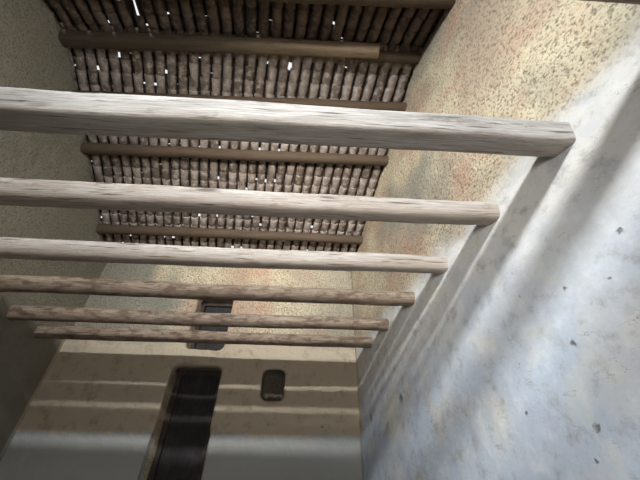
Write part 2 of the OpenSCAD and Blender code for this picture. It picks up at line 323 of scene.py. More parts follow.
def leaning_points(x0, x1, y0, y1, z0, z1):
    """Corners of an upright block that follows the skew of the plan."""
    return [(x + lean(y), y, z) for x in (x0, x1) for y in (y0, y1) for z in (z0, z1)]


def roofed_points(x0, x1, depths, z0, top):
    """Corners of an upright block that follows the skew and rises to the roof."""
    return [(x + lean(y), y, z) for x in (x0, x1) for y in depths for z in (z0, under(y) + top)]


def shift_along_normals(mesh, amount):
    """Moves each vertex along its normal by amount(point)."""
    moved = [vertex.co + vertex.normal * amount(vertex.co) for vertex in mesh.vertices]
    for vertex, point in zip(mesh.vertices, moved):
        vertex.co = point
    mesh.update()


def stand_on_ground(mesh):
    """Lifts what reaches below the ground up to it."""
    for vertex in mesh.vertices:
        vertex.co.z = max(vertex.co.z, 0.0)


def ripple(point, wave, seed):
    """Smooth noise to either side of nought, with bumps about as long as wave."""
    return noise.noise(point / wave + Vector((seed, seed * 1.7, -seed)))


def dress(thing, finish, stands_for=(), body="house"):
    """Gives a finished piece its material, its body and the nodes that it stands for."""
    thing.data.materials.clear()
    thing.data.materials.append(finish)
    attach(thing, body)
    if stands_for:
        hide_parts(*stands_for)


def new_material(name):
    finish = bpy.data.materials.new(name)
    finish.use_nodes = True
    finish.node_tree.nodes.clear()
    put = functools.partial(add, finish.node_tree)
    return finish, put, put("TexCoord").outputs["Object"]


def surface(put, shade, relief, distance, roughness, specular=0.25):
    """Ends a material: a dull shader whose relief stands the given distance proud."""
    bump = put("Bump", {"Strength": 1.0, "Distance": distance, "Height": relief})
    shader = put("BsdfPrincipled", {"Base Color": shade, "Normal": bump})
    shader.inputs["Roughness"].default_value = roughness
    shader.inputs["Specular IOR Level"].default_value = specular
    put("OutputMaterial", shader)


# Finishes


def coats(put, shade, rows):
    """Lays coats of colour over a first shade.

    A row holds a pattern, its values where the coat starts and where it is full, how much a full coat covers,
    the colour, and masks that the coat stays within.
    """
    for pattern, bare, full, share, tint, *masks in rows:
        cover = put("MapRange", pattern, bare, full, {4: share})
        for mask in masks:
            cover = put("Math MULTIPLY", cover, mask)
        shade = put("Mix", cover, {6: shade, 7: tint}, data_type="RGBA")
    return shade


def mud_walls():
    """Straw and mud roughcast above the joists and outside, limewashed smooth clay below: dull and uneven."""
    c, s = colours(), sizes()
    finish, put, spot = new_material("mud_render_and_limewash")
    x, y, z = put("SeparateXYZ", spot).outputs
    across = put("Math MULTIPLY_ADD", y, math.tan(s.skew), x)
    in_x = put("Math COMPARE", across, 0.0, s.half_w + CORNER_LAP)
    in_y = put("Math COMPARE", y, 0.0, s.half_d + CORNER_LAP)
    inside = put("Math MULTIPLY", in_x, in_y)
    outside = put("Math SUBTRACT", 1.0, inside)
    at_back = put("Math GREATER_THAN", y, s.half_d - 0.05)
    # the smooth coat ends in a wandering line at the joists
    wander = put("TexNoise", spot, {"Scale": 1 / 0.3, "Detail": 2.0})
    height = put("Math MULTIPLY_ADD", wander, -0.3, z)
    low = put("MapRange", height, s.joist_z + 0.02, s.joist_z - 0.12)
    smooth = put("Math MULTIPLY", inside, low)

    # roughcast: red clay in patches 0.4 m wide, fainter outside
    drift = put("TexNoise", spot, {"Scale": 1 / 0.7, "Detail": 4.0, "Roughness": 0.6})
    clay = put("TexNoise", spot, {"Scale": 1 / 0.4, "Detail": 3.0, "Distortion": 0.4})
    soft = put("MapRange", inside, {3: 0.4, 4: 1.0})
    # dampness in patches, painted shade on the left wall, and a greyer coat toward the right corner of the
    # back wall
    damp_and_shade = put("TexNoise", put("Mapping", spot, (8, 3, 1)), {"Scale": 1 / 0.8})
    damp_and_shade = put("MapRange", damp_and_shade, 0.52, 0.7, {4: soft})
    # painted shade on the left wall, inside the room only
    shady = put("MapRange", x, -1.2, -1.3, {4: 0.85})
    shady = put("Math MULTIPLY", shady, inside)
    corner = put("MapRange", x, 0.2, 1.0, {4: 0.6})
    for mask in (at_back, inside):
        corner = put("Math MULTIPLY", corner, mask)
    for place in (shady, corner):
        damp_and_shade = put("Math MAXIMUM", damp_and_shade, place)
    # rain runs 20 mm wide, grit 16 mm across, and chopped straw 4 mm thick
    runs = put("TexNoise", put("Mapping", spot, {"Scale": (9, 9, 0.7)}), {"Detail": 4.0})
    grit = put("TexNoise", spot, {"Scale": 1 / 0.016, "Detail": 4.0, "Roughness": 0.7})
    reeds = put("Mapping", spot, {"Rotation": (0.5, 0.7, 0.2), "Scale": (38, 250, 250)})
    straws = put("TexNoise", reeds, {"Scale": 1.0, "Detail": 1.0})
    straws = put("MapRange", straws, 0.7, 0.78, {4: 0.35})
    rows = (
        (drift, 0.42, 0.6, 1.0, c.roughcast_cream),
        (clay, 0.5, 0.72, soft, c.roughcast_pink),
        (damp_and_shade, 0.0, 1.0, 1.0, c.roughcast_grey),
        (runs, 0.5, 0.7, 0.45, c.rain_run, outside),
        (height, 0.6, 0.1, 0.75, c.splash, outside),
        # painted shade in the pits of the grit
        (grit, 0.51, 0.38, 0.9, c.pit_shade),
        (straws, 0.0, 1.0, 1.0, c.straw),
    )
    rough = coats(put, c.roughcast, rows)

    # limewash: bluish on the side walls, worn through in patches and near the joists
    cloud = put("TexNoise", spot, {"Scale": 1 / 0.55, "Detail": 5.0, "Distortion": 0.5})
    worn = put("MapRange", cloud, 0.5, 0.68, {4: 0.8})
    high = put("MapRange", z, 1.9, 2.45, {4: 0.75})
    worn = put("Math MAXIMUM", worn, high)
    scuff = put("TexNoise", spot, {"Scale": 1 / 0.09, "Detail": 6.0, "Roughness": 0.68})
    tint = put("TexNoise", spot, {"Scale": 1 / 0.2, "Detail": 3.0, "Distortion": 0.8})
    lines = put("Mapping", spot, {"Scale": (3, 3, 7)})
    lines = put("TexNoise", lines, {"Scale": 1.0, "Detail": 6.0, "Roughness": 0.6})
    crack = put("Math COMPARE", lines, 0.5, 0.0028)
    rows = (
        (worn, 0.0, 1.0, 1.0, c.limewash_warm),
        (scuff, 0.52, 0.7, 0.4, "#cfd1d0"),
        (scuff, 0.47, 0.3, 0.75, "#86857f"),
        (tint, 0.54, 0.74, 0.45, "#c3beaa"),
        (tint, 0.48, 0.3, 0.35, "#9aa0ad"),
        (tint, 0.53, 0.58, 0.6, "#6f6a63", crack),
        # painted shade on the left wall
        (shady, 0.0, 1.0, 1.0, "#6d6757"),
    )
    wash = coats(put, c.limewash, rows)
    # the back wall has plain clay, broken off along a ragged line above the dado
    broken = put("Math MULTIPLY_ADD", scuff, 0.12, z)
    broken = put("Math MULTIPLY_ADD", wander, 0.1, broken)
    edge = s.dado_z + 0.11
    rows = (scuff, 0.47, 0.3, 0.75, "#8d7c64"), (broken, edge + 0.005, edge - 0.005, 1.0, c.dado)
    wash = put("Mix", at_back, {6: wash, 7: coats(put, c.clay_coat, rows)}, data_type="RGBA")
    shade = put("Mix", smooth, {6: rough, 7: wash}, data_type="RGBA")

    # chips with ragged rims, darkened as painted shade in their hollows, and painted shade inside the niche
    ragged = put("TexNoise", spot, {"Scale": 1 / 0.01, "Detail": 4.0, "Roughness": 0.7})
    ragged = put("Math SUBTRACT", ragged, 0.5)
    chip = 1.0
    for x0, y0, z0, radius in PLASTER_CHIPS:
        place = (s.half_w + lean(y0) if x0 is None else x0, y0, z0)
        away = put("VectorMath DISTANCE", spot, place)
        away = put("Math MULTIPLY_ADD", ragged, radius * 4.0, away)
        away = put("MapRange", away, radius * 0.2, radius * 1.2, 0.35, 1.0)
        chip = put("Math MINIMUM", away, chip)
    left, right, bottom, top = NICHE
    margin = 0.02
    sides = (x, left, right), (z, bottom, top), (y, s.half_d + 2 * margin, s.half_d + 0.2)
    niche = [
        put("Math COMPARE", axis, (low + high) / 2, (high - low) / 2 + margin)
        for axis, low, high in sides
    ]
    rows = (chip, 1.0, 0.0, 1.0, "#57524b"), (niche[0], 0.0, 1.0, 0.8, c.painted_shade, *niche[1:])
    shade = coats(put, shade, rows)

    # relief: grit and lumps above, trowel sweeps and fine grain below
    lump = put("TexNoise", spot, {"Scale": 1 / 0.045, "Detail": 3.0, "Distortion": 0.6})
    relief = put("Math MULTIPLY_ADD", lump, 0.9, grit)
    relief = put("Math MULTIPLY_ADD", straws, 0.3, relief)
    trowel = put("TexNoise", spot, {"Scale": 1 / 0.16, "Detail": 5.0, "Roughness": 0.55})
    fine = put("Math MULTIPLY_ADD", scuff, 0.4, trowel)
    relief = put("Mix", smooth, {2: relief, 3: fine})
    relief = put("Math MULTIPLY_ADD", chip, 0.5, relief)
    surface(put, shade, relief, 0.02, 0.93)
    return finish


def log_finish(name, sapwood, bark, share, underside_shade, shaded_from=None):
    """Barked log left to the weather: silvery sapwood, fine grain, short drying cracks, shreds of bark."""
    c = colours()
    finish, put, spot = new_material(name)
    patterns = []
    # cells a metre along the log and across it: fibres, bands, shreds of bark and drying cracks
    for start, cells, detail, roughness in (
        ((0, 0, 0), (7, 230, 230), 4.0, 0.7),
        ((0, 0, 0), (3, 22, 22), 4.0, 0.6),
        ((7, 5, -3), (9, 24, 24), 5.0, 0.66),
        ((1, 2, 3), (5, 95, 95), 2.0, 0.5),
    ):
        along = put("Mapping", spot, {"Location": start, "Scale": cells})
        patterns.append(put("TexNoise", along, {"Scale": 1.0, "Detail": detail, "Roughness": roughness}))
    grain, bands, shreds, cracks = patterns
    knots = put("TexVoronoi", put("Mapping", spot, {"Scale": (2.2, 7, 7)}), {"Scale": 1.0})
    facing = put("SeparateXYZ", put("TexCoord").outputs["Normal"]).outputs[2]
    dull = put("Mix", 0.7, {6: sapwood, 7: bark}, data_type="RGBA")
    patch = put("MapRange", shreds, 0.98 - share, 1.12 - share, {4: 0.85})
    split = put("MapRange", cracks, 0.61, 0.71, {4: 0.85})
    rows = [
        (grain, 0.6, 0.34, 1.0, dull),
        (bands, 0.45, 0.75, 1.0, dull),
        (patch, 0.0, 1.0, 1.0, bark),
        (split, 0.0, 1.0, 1.0, c.crack),
        (knots, 0.15, 0.06, 0.7, c.crack),
        # painted shade on the underside and dust on top
        (facing, 0.0, -0.6, 0.45, underside_shade),
        (facing, 0.72, 0.95, 0.75, c.dust),
    ]
    if shaded_from is not None:
        # painted shade, darker toward the left
        x = put("SeparateXYZ", spot).outputs[0]
        rows.append((x, shaded_from + 1.5, shaded_from, 0.85, c.painted_shade))
    relief = put("Math MULTIPLY_ADD", patch, 0.4, grain)
    relief = put("Math MULTIPLY_ADD", split, -1.0, relief)
    surface(put, coats(put, sapwood, rows), relief, 0.004, 0.8, 0.3)
    return finish


def clay_tile(name, clay, dark, cloudy, shade_underneath=0.0):
    """Hand-made half-round tile: low-fired clay, sandy, uneven in colour, dusty and sooty, with painted shade
    on its underside.
    """
    finish, put, spot = new_material(name)
    each = put("Attribute", attribute_name="tile_tone").outputs["Fac"]
    dust = put("TexNoise", spot, {"Scale": 1 / 0.05, "Detail": 4.0, "Roughness": 0.65})
    sand = put("TexNoise", spot, {"Scale": 1 / 0.012, "Detail": 4.0, "Roughness": 0.7})
    facing = put("SeparateXYZ", put("TexCoord").outputs["Normal"]).outputs[2]
    rows = (
        (each, 0.0, 1.0, 1.0, clay),
        (dust, 0.48, 0.66, 0.8, cloudy),
        (dust, 0.45, 0.3, 0.7, dark),
        # painted shade on the underside, as much as asked
        (facing, 0.1, -0.2, shade_underneath, "#2c241f"),
    )
    relief = put("Math MULTIPLY_ADD", dust, 1.5, sand)
    surface(put, coats(put, dark, rows), relief, 0.006, 0.88)
    return finish


def timber_finish(name, wood, grain_axis):
    """Sawn or hewn timber gone dull: open grain along one axis, worn paler on the high spots."""
    finish, put, spot = new_material(name)
    # cells a metre across the grain and along it
    cells = [150, 150, 150]
    cells[grain_axis] = 4
    fibres = put("Mapping", spot, {"Scale": cells})
    grain = put("TexNoise", fibres, {"Scale": 1.0, "Detail": 4.0, "Roughness": 0.65})
    patches = put("TexNoise", spot, {"Scale": 1 / 0.2, "Detail": 5.0, "Roughness": 0.6})
    dark = tuple(v * 0.4 for v in wood[:3]) + (1.0,)
    pale = tuple(min(1, v * 1.8 + 0.01) for v in wood[:3]) + (1.0,)
    rows = (grain, 0.35, 0.65, 1.0, wood), (patches, 0.5, 0.75, 0.7, pale)
    surface(put, coats(put, dark, rows), grain, 0.003, 0.75, 0.35)
    return finish


def mineral_finish(name, base, grain):
    """Stone or beaten earth: dull, mottled, with grains and dark pores."""
    finish, put, spot = new_material(name)
    cloud = put("TexNoise", spot, {"Scale": 1 / 0.2, "Detail": 5.0, "Roughness": 0.65})
    speck = put("TexNoise", spot, {"Scale": 1 / grain, "Detail": 4.0, "Roughness": 0.7})
    dark = tuple(v * 0.55 for v in base[:3]) + (1.0,)
    pale = tuple(min(1, v * 1.4) for v in base[:3]) + (1.0,)
    rows = (cloud, 0.35, 0.65, 1.0, base), (speck, 0.52, 0.7, 0.7, pale)
    surface(put, coats(put, dark, rows), speck, 0.006, 0.92)
    return finish


# Trees


def log_tree():
    """A log along X, round or hewn square: it tapers from end to end and is crooked and lumpy."""
    inputs = {"Length": 3.0, "Left Radius": 0.06, "Right Radius": 0.055, "Hewn": 2.0, "Turn": 0.0}
    inputs |= {"Crook": 0.02, "Lumps": 0.008, "Rings": 120, "Sides": 40, "Seed": 0.0}
    tree, put, given = new_tree("log", inputs)
    line = put("CurvePrimitiveLine", {1: put("CombineXYZ", given["Length"])})
    fine = put("ResampleCurve", line, {2: given["Rings"]})
    place = put("InputPosition")
    bend = put("TexNoise", place, given["Seed"], 0.9, 1.0, noise_dimensions="4D").outputs[1]
    centred = put("VectorMath SUBTRACT", bend, (0.5, 0.5, 0.5))
    sway = put("CombineXYZ", {1: given["Crook"], 2: given["Crook"]})
    offset = put("VectorMath MULTIPLY", centred, sway)
    bent = put("SetPosition", fine, {3: offset})
    upright = put("SetCurveNormal", bent, mode="Z_UP")
    # a ring whose corners square up as Hewn grows past 2
    ring = put("CurvePrimitiveCircle", given["Sides"], {4: 1.0})
    u, v = (put("Math ABSOLUTE", way) for way in put("SeparateXYZ", place).outputs[:2])
    u, v = (put("Math POWER", way, given["Hewn"]) for way in (u, v))
    both = put("Math ADD", u, v)
    power = put("Math DIVIDE", -1.0, given["Hewn"])
    grow_by = put("Math POWER", both, power)
    squared = put("VectorMath SCALE", place, {3: grow_by})
    turned = put("VectorRotate", squared, {3: given["Turn"]}, rotation_type="Z_AXIS")
    ring = put("SetPosition", ring, {2: turned})
    along = put("SplineParameter")
    radius = put("Mix", along, {2: given["Left Radius"], 3: given["Right Radius"]})
    body = put("CurveToMesh", upright, ring, radius, True)
    squeeze = put("VectorMath MULTIPLY", place, (0.35, 1.0, 1.0))
    big = put("TexNoise", squeeze, given["Seed"], 11.0, 3.0, 0.5, noise_dimensions="4D")
    high = put("Math SUBTRACT", big, 0.5)
    amount = put("Math MULTIPLY", high, given["Lumps"])
    push = put("VectorMath SCALE", put("InputNormal"), {3: amount})
    finish_tree(put, put("SetPosition", body, {3: push}), given)
    return tree


def tile_tree():
    """Rows and columns of one tile on a slope, each a little askew; some have slipped, one is gone."""
    inputs = {"Tile": "Object", "Columns": 42, "Rows": 28, "Column Pitch": 0.1025, "Row Run": 0.108}
    inputs |= {"First Row": 0.03, "Side": 1.0, "Skew": 0.158, "Ridge Height": 4.54, "Fall": 0.389}
    inputs |= {"Lift": 0.0, "Turn": (0, 0, 0), "Askew": 0.03, "Slack": 0.003, "Slipped": 0.0, "Slip": 0.0}
    inputs |= {"Hole": (0, 0, 0), "Hole Size": 0.0, "Seed": 1}
    tree, put, given = new_tree("tile_courses", inputs)
    spans = []
    for count, pitch in (("Columns", "Column Pitch"), ("Rows", "Row Run")):
        gaps = put("Math SUBTRACT", given[count], 1.0)
        spans.append(put("Math MULTIPLY", gaps, given[pitch]))
    width, run = spans
    grid = put("MeshGrid", width, run, given["Columns"], given["Rows"])
    place = put("InputPosition")
    u, v, _ = put("SeparateXYZ", place).outputs
    twist_seed, tone_seed, slip_seed = (
        put("Math ADD", given["Seed"], step) for step in (3.0, 11.0, 13.0)
    )
    # how far down the slope each tile lies, with the slipped ones further on
    toward_left = put("MapRange", u, -1.9, 1.2, given["Slipped"], 0.0)
    slips = put("RandomValue", {6: toward_left, 8: slip_seed}, data_type="BOOLEAN")
    far = put("RandomValue", {2: 0.45, 3: 1.0, 8: tone_seed})
    clear = put("Math MULTIPLY_ADD", run, 0.5, -0.35)
    clear = put("Math LESS_THAN", v, clear)
    for mask in (slips, clear):
        far = put("Math MULTIPLY", far, mask)
    middle = put("Math MULTIPLY_ADD", run, 0.5, given["First Row"])
    away = put("Math MULTIPLY_ADD", far, given["Slip"], v)
    away = put("Math ADD", away, middle)
    y = put("Math MULTIPLY", away, given["Side"])
    x = put("Math MULTIPLY", y, given["Skew"])
    x = put("Math SUBTRACT", u, x)
    drop = put("Math MULTIPLY", away, given["Fall"])
    z = put("Math SUBTRACT", given["Ridge Height"], drop)
    z = put("Math ADD", z, given["Lift"])
    laid_at = put("CombineXYZ", x, y, z)
    # each tile is nudged and turned by no more than Slack and Askew either way
    errors = []
    for ways, limit, seed in (((1, 1, 0.3), "Slack", given["Seed"]), ((0.5, 1, 1), "Askew", twist_seed)):
        high = put("VectorMath SCALE", ways, {3: given[limit]})
        low = put("VectorMath SCALE", high, {3: -1.0})
        errors.append(put("RandomValue", low, high, {8: seed}, data_type="FLOAT_VECTOR"))
    nudge, twist = errors
    points = put("SetPosition", grid, {2: laid_at, 3: nudge})
    from_hole = put("VectorMath DISTANCE", place, given["Hole"])
    gone = put("Math LESS_THAN", from_hole, given["Hole Size"])
    kept = put("DeleteGeometry", points, gone, domain="POINT")
    turn = put("VectorMath ADD", given["Turn"], twist)
    shape = put("ObjectInfo", given["Tile"], True).outputs["Geometry"]
    laid = put("InstanceOnPoints", kept, {2: shape, 5: turn})
    tone = put("RandomValue", {2: 0.0, 3: 1.0, 8: tone_seed})
    named = {"domain": "INSTANCE", "data_type": "FLOAT"}
    toned = put("StoreNamedAttribute", laid, {2: "tile_tone", 3: tone}, **named)
    finish_tree(put, toned, given)
    return tree


def stone_tree():
    """Courses of rough stones along X: each is the same lump, turned and sized at random."""
    inputs = {"Stone": "Object", "Length": 4.0, "Height": 0.2, "Courses": 2, "Stones": 20, "Depth": 0.07}
    tree, put, given = new_tree("stone_courses", inputs | {"Seed": 1})
    length, height, stones, courses = (given[name] for name in ("Length", "Height", "Stones", "Courses"))
    grid = put("MeshGrid", length, height, stones, courses)
    place = put("InputPosition")
    u, v, _ = put("SeparateXYZ", place).outputs
    seed = [put("Math ADD", given["Seed"], step) for step in (3.0, 7.0, 11.0)]
    pitch = put("Math DIVIDE", length, stones)
    rise = put("Math DIVIDE", height, courses)
    # the upper course breaks the joints of the lower one, and both stay clear of the corners
    upper = put("Math GREATER_THAN", v, 0.0)
    shift = put("Math SUBTRACT", upper, 0.5)
    step = put("Math MULTIPLY", pitch, 0.24)
    shift = put("Math MULTIPLY", shift, step)
    inner = put("Math DIVIDE", 1.3, stones)
    inner = put("Math SUBTRACT", 1.0, inner)
    x = put("Math MULTIPLY_ADD", u, inner, shift)
    z = put("Math MULTIPLY", v, 0.5)
    z = put("Math MULTIPLY_ADD", height, 0.5, z)
    points = put("SetPosition", grid, {2: put("CombineXYZ", x, {2: z})})
    wide = put("RandomValue", {2: 0.85, 3: 1.12, 8: seed[0]}).outputs[1]
    tall = put("RandomValue", {2: 0.84, 3: 1.0, 8: seed[1]}).outputs[1]
    across = put("Math MULTIPLY", pitch, wide)
    up = put("Math MULTIPLY", rise, tall)
    scale = put("CombineXYZ", across, given["Depth"], up)
    limits = {0: (-0.06, -0.09, -0.05), 1: (0.06, 0.09, 0.05)}
    turn = put("RandomValue", limits | {8: seed[2]}, data_type="FLOAT_VECTOR")
    shape = put("ObjectInfo", given["Stone"], True).outputs["Geometry"]
    laid = put("InstanceOnPoints", points, {2: shape, 5: turn, 6: scale})
    real = put("RealizeInstances", laid)
    rough = put("TexNoise", place, {"Scale": 9.0, "Detail": 3.0})
    swell = put("Math MULTIPLY_ADD", rough, 0.035, -0.0175)
    push = put("VectorMath SCALE", put("InputNormal"), {3: swell})
    finish_tree(put, put("SetPosition", real, {3: push}), given)
    return tree


def tile_shape(name, stations, thick, upward, steps):
    """A half-round tile along +Y through (y, radius) stations; upward is 1 for a cover, -1 for a pan."""
    half = math.radians(82)
    shape = bmesh.new()
    rings = []
    for y, radius in stations:
        rest = radius * math.cos(half) if upward > 0 else radius
        ring = []
        for r, order in ((radius, range(steps + 1)), (radius - thick, range(steps, -1, -1))):
            for angle in (half * (2 * k / steps - 1) for k in order):
                ring.append(shape.verts.new((r * math.sin(angle), y, upward * (r * math.cos(angle) - rest))))
        rings.append(ring)
    for ring, after in zip(rings, rings[1:]):
        for k in range(len(ring)):
            shape.faces.new((ring[k - 1], ring[k], after[k], after[k - 1]))
    for ring in (rings[0], rings[-1]):
        for k in range(steps):
            shape.faces.new((ring[k], ring[k + 1], ring[-k - 2], ring[-k - 1]))
    bmesh.ops.recalc_face_normals(shape, faces=shape.faces)
    return solid_object(name, shape)


# Pieces


def remeshed(thing, cell, cutters=()):
    """Soft-edged skin of a solid, after cutting openings."""
    for cutter in cutters:
        cut = thing.modifiers.new("cut", "BOOLEAN")
        cut.operation = "DIFFERENCE"
        cut.object = cutter
        cut.solver = "EXACT"
    skin = thing.modifiers.new("skin", "REMESH")
    skin.mode = "VOXEL"
    skin.voxel_size = cell
    skin.use_smooth_shade = True
    settle(thing)
    for cutter in cutters:
        bpy.data.objects.remove(cutter)
    return thing


def joined(name, things):
    """One object made of several."""
    whole = bmesh.new()
    for thing in things:
        whole.from_mesh(thing.data)
        bpy.data.objects.remove(thing)
    return solid_object(name, whole)


def hewn(name, tree, low, high, axis, seed, square, rough, rings, sides=32):
    """A hewn or round timber that fills the box between two corners, its grain along one axis."""
    low, high = Vector(low), Vector(high)
    span = high - low
    half = [span[(axis + k) % 3] / 2 for k in (1, 2)]
    radius = min(half)
    place = Matrix.Diagonal((0, 0, 0, 1))
    for k, scale in enumerate((1.0, half[0] / radius, half[1] / radius)):
        place[(axis + k) % 3][k] = scale
    start = (low + high) / 2
    start[axis] = low[axis]
    place.translation = start
    inner = radius - rough * 0.6
    values = {"Length": span[axis], "Left Radius": inner, "Right Radius": inner, "Hewn": square}
    values |= {"Crook": rough, "Lumps": rough, "Rings": rings, "Sides": sides, "Seed": seed}
    return grow(name, tree, values, place)


def plaster(thing, seed, dado=False):
    """Makes a wall hand-made: broad waves everywhere, lumps where it is not smoothed."""
    s = sizes()

    def height(p):
        within = abs(p.x - lean(p.y)) < s.half_w + 0.05 and abs(p.y) < s.half_d + 0.05
        smooth = within and p.z < s.joist_z
        lumps, tall = (0.06, 0.001) if smooth else (0.075, 0.005)
        wide = ripple(p, 0.7, seed) * 0.008 + ripple(p, 0.2, seed + 4) * 0.004
        wide += ripple(p, lumps, seed + 9) * tall
        if dado and within:
            edge = s.dado_z + ripple(p, 0.14, 3.0) * 0.05 + ripple(p, 0.05, 8.0) * 0.03
            wide -= 0.014 * min(1, max(0, (edge - p.z) / 0.02 + 0.5))
        return wide

    shift_along_normals(thing.data, height)


def planked(low, high, first, count, rings, seed, ledges):
    """Upright planks that lap, from the edge first on, and ledges (left, right, bottom, top) across them."""
    tree = log_tree()
    width = (high[0] - low[0]) / count
    things = []
    for k in range(count):
        left = low[0] + width * k - PLANK_LAP
        right = min(high[0], left + width + 2 * PLANK_LAP)
        corners = (max(first, left), low[1], low[2]), (right, high[1] - 0.01, high[2])
        things.append(hewn("plank", tree, *corners, 2, seed + k, 9.0, 0.002, rings, 32))
    for k, (left, right, bottom, top) in enumerate(ledges):
        corners = (left, high[1] - 0.012, bottom), (right, high[1], top)
        things.append(hewn("ledge", tree, *corners, 0, seed + 10 + k, 7.0, 0.001, 16, 24))
    return things


def end_wall(name, points, holes, finish, seed, stands_for, dado=False):
    """A front or back wall with its openings cut through."""
    cutters = [hull("cut_%d" % k, box_points(*hole)) for k, hole in enumerate(holes)]
    wall = remeshed(hull(name, points), sizes().plaster_cell, cutters)
    plaster(wall, seed, dado)
    dress(wall, finish, stands_for)


class HOUSE_OT_walls(bpy.types.Operator):
    """Builds the mud walls with their doorways, loft opening and niche"""

    bl_idname = "house.walls"
    bl_label = "Walls"

    def execute(self, context):
        s = sizes()
        finish = mud_walls()
        far_w, far_d = s.half_w + s.wall, s.half_d + s.wall
        z0 = s.floor_z - BEDDING
        sides = ("wall_left", -far_w, -s.half_w, 1.0), ("wall_right", s.half_w, far_w, 5.0)
        for name, x0, x1, seed in sides:
            wall = hull(name + "_plaster", roofed_points(x0, x1, (-far_d, 0.0, far_d), z0, BEDDING))
            remeshed(wall, s.plaster_cell)
            plaster(wall, seed)
            dress(wall, finish, [name])
        ends = -s.half_w - CORNER_LAP, s.half_w + CORNER_LAP
        inner, outer = s.half_d - CUT_PAST, far_d + CUT_PAST
        door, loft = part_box("frame_back"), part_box("frame_loft")
        left, right, bottom, top = NICHE
        holes = [
            (door[0][0], door[1][0], inner, outer, 0.0, door[1][2]),
            (loft[0][0], loft[1][0], inner, outer, loft[0][2], loft[1][2]),
            (left, right, inner, s.half_d + NICHE_DEPTH, bottom, top),
        ]
        pocket = s.half_d + LINTEL_INSET
        for name in ("lintel_back", "lintel_loft"):
            low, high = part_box(name)
            width = low[0] - LINTEL_ROOM, high[0] + LINTEL_ROOM
            holes.append((*width, pocket, outer, low[2], high[2] + LINTEL_ROOM))
        points = roofed_points(*ends, (s.half_d - 0.006, far_d), z0, BEDDING)
        parts = ["left", "right", "mid", "upper_left", "upper_right", "top"]
        stands_for = ["wall_back_" + part for part in parts]
        end_wall("wall_back_plaster", points, holes, finish, 11.0, stands_for, dado=True)
        over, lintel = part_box("wall_front_over"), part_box("lintel_front")
        holes = [
            (over[0][0], over[1][0], -outer, -inner, 0.0, lintel[0][2]),
            (lintel[0][0], lintel[1][0], -outer, -pocket, lintel[0][2], lintel[1][2] + LINTEL_ROOM),
        ]
        points = leaning_points(*ends, -far_d, -s.half_d, z0, over[1][2])
        stands_for = ["wall_front_left", "wall_front_right", "wall_front_over"]
        end_wall("wall_front_plaster", points, holes, finish, 17.0, stands_for)
        return {"FINISHED"}


class HOUSE_OT_joists(bpy.types.Operator):
    """Lays the nine joists: one hewn square, the others barked logs"""

    bl_idname = "house.joists"
    bl_label = "Joists"

    def execute(self, context):
        s, c = sizes(), colours()
        # the squared joist is painted with shade toward its left end
        grey = log_finish("silvered_beam", "#cfcdc8", "#716a62", 0.38, c.log_underside_shade, -1.55)
        pale = log_finish("silvered_log", c.log_pale, c.log_brown, 0.4, c.log_underside_shade)
        brown = log_finish("bark_patched_log", "#ae9e89", "#644f41", 0.52, "#6a5747")
        # painted shade: a darker copy of the log finish for the three front joists
        dusty = log_finish("dusty_front_log", "#7f7466", "#54493e", 0.4, c.log_underside_shade)
        tree = log_tree()
        reach = s.half_w + s.joist_seat
        shared = {"Length": 2 * reach, "Right Radius": 0.05, "Turn": math.radians(12)}
        for k, (shift, square) in enumerate(zip(JOIST_SHIFT, JOIST_SQUARE)):
            y = (k - 4) * s.joist_pitch + shift
            crook, lumps = (0.026, 0.009) if k < 6 else (0.036, 0.011)
            values = {"Hewn": square, "Crook": crook, "Lumps": lumps, "Seed": 3.7 * k + 1}
            place = Matrix.Translation((lean(y) - reach, y, s.joist_z))
            log = grow("joist_%d" % (k + 1), tree, shared | values, place)
            node = ("joists_front", "joists_middle", "joists_back")[k // 3]
            dress(log, (dusty, grey if k == 3 else pale, brown)[k // 3], [node])
        return {"FINISHED"}


class HOUSE_OT_purlins(bpy.types.Operator):
    """Lays the ridge purlin and the purlins of both slopes"""

    bl_idname = "house.purlins"
    bl_label = "Purlins"

    def execute(self, context):
        s, c = sizes(), colours()
        finish = log_finish("smoky_purlin", c.purlin, "#4b3d31", 0.4, c.purlin)
        # the ridge log is painted with shade toward its left end
        bright = log_finish("smoky_ridge_log", "#ac997e", "#6e5b47", 0.42, "#a08c71", -0.5)
        tree = log_tree()
        reach = s.half_w + s.wall + s.verge - VERGE_INSET
        shared = {"Left Radius": 0.057, "Right Radius": 0.05, "Hewn": 2.2, "Turn": math.radians(20)}
        shared |= {"Crook": 0.024, "Lumps": 0.014, "Rings": 110, "Sides": 28}
        for i in range(-4, 5):
            y = s.purlin_pitch * i
            length = reach + (reach if i else RIDGE_LOG_END)
            values = {"Length": length, "Hewn": 2.2 if i else 3.5, "Seed": 2.9 * i + 31}
            drift = PURLIN_DRIFT.get(i, 0.0) / length
            drop = s.fall * drift if i < 1 else 0.0
            place = Matrix.Translation((lean(y) - reach, y, under(y) - PURLIN_DROP))
            place = place @ Matrix.Rotation(-drift, 4, "Z") @ Matrix.Rotation(drop, 4, "Y")
            log = grow("purlin_%d" % (i + 5), tree, shared | values, place)
            node = "purlins_front" if i < 0 else "purlins_back" if i else "purlin_ridge"
            dress(log, finish if i else bright, [node])
        length = reach - RIDGE_STUB_START
        values = {"Length": length, "Left Radius": 0.04, "Right Radius": 0.046, "Seed": 77.0}
        place = Matrix.Translation((RIDGE_STUB_START, -0.03, under(0) - STUB_DROP))
        dress(grow("purlin_ridge_end", tree, shared | values, place), finish)
        return {"FINISHED"}


